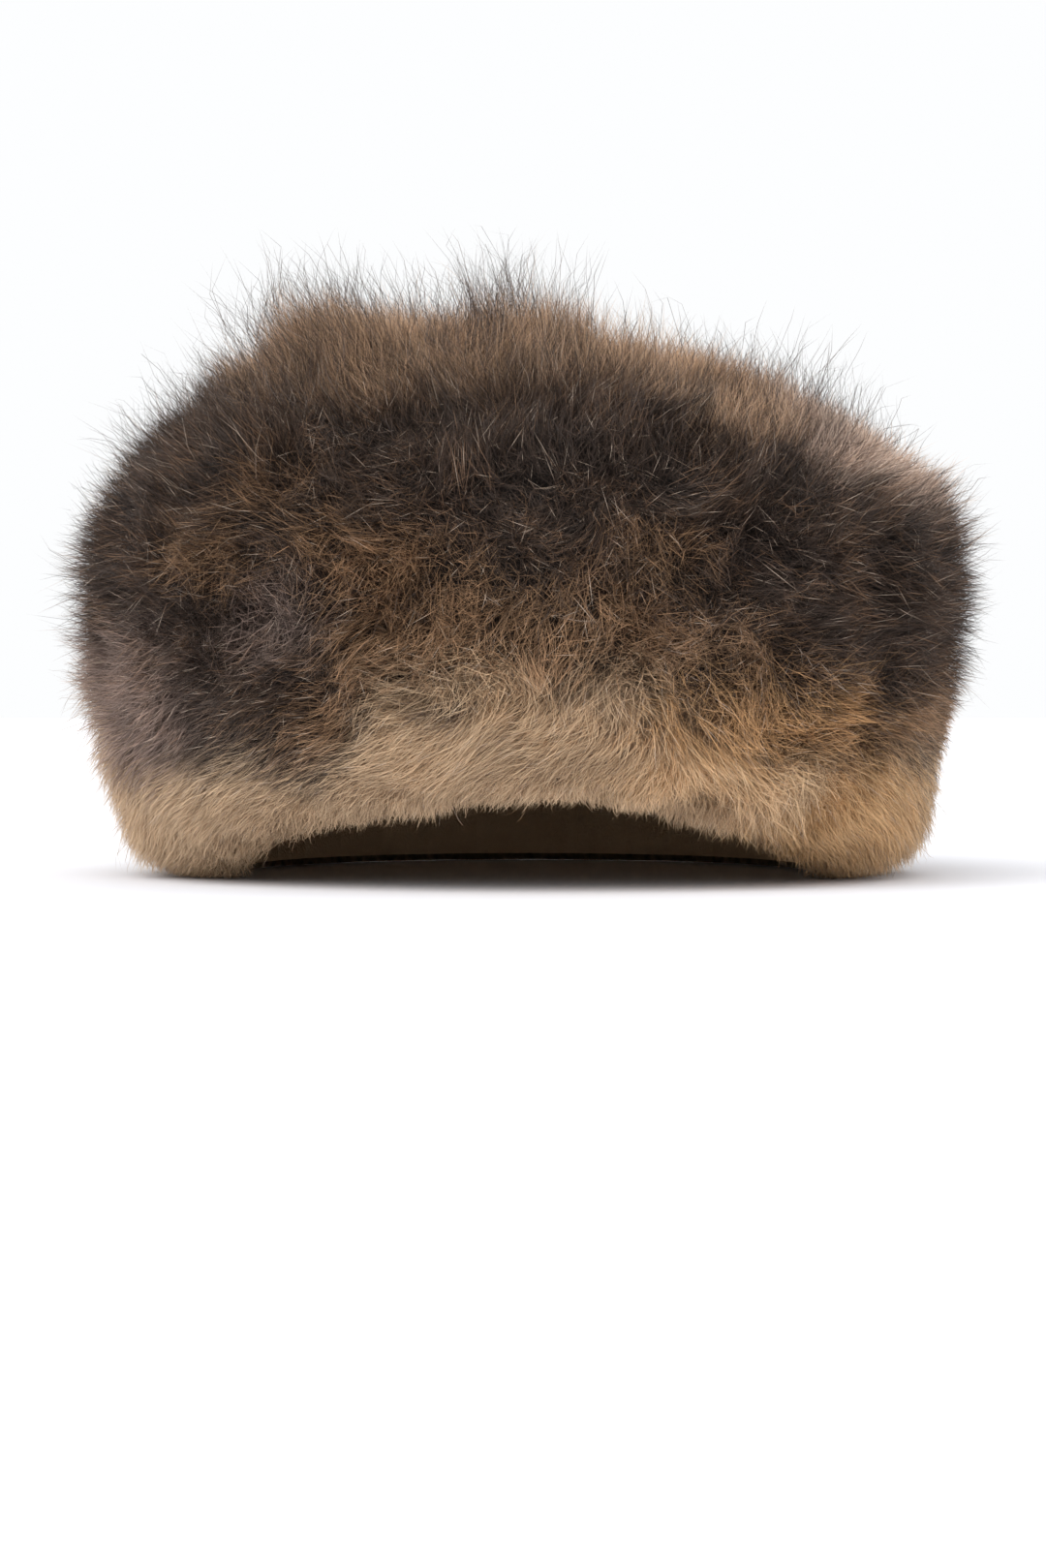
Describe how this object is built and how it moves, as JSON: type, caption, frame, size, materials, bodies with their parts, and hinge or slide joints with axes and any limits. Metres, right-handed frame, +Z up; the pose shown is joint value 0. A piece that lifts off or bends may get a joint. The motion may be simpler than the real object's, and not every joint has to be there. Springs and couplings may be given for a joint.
{
  "type": "fur hat",
  "caption": "Brimless hat of deep brushed fur: a tall rounded side band closed by a domed oval crown, cut higher over the brow and open below for the head.",
  "frame": {"origin": "on the ground under the middle of the hat, which rests on its rim", "axes": "+Z up, -Y towards the brow, +X towards the wearer's left"},
  "size_m": [0.2594, 0.2928, 0.1634],
  "materials": {
    "fur": "long brushed fur, dark brown with tan ends and a few pale guard hairs",
    "skin": "matt suede side of the pelt"
  },
  "bodies": {
    "root": {"band_skin": "skin", "band_fur": "fur", "crown_skin": "skin", "crown_fur": "fur"}
  },
  "joints": []
}
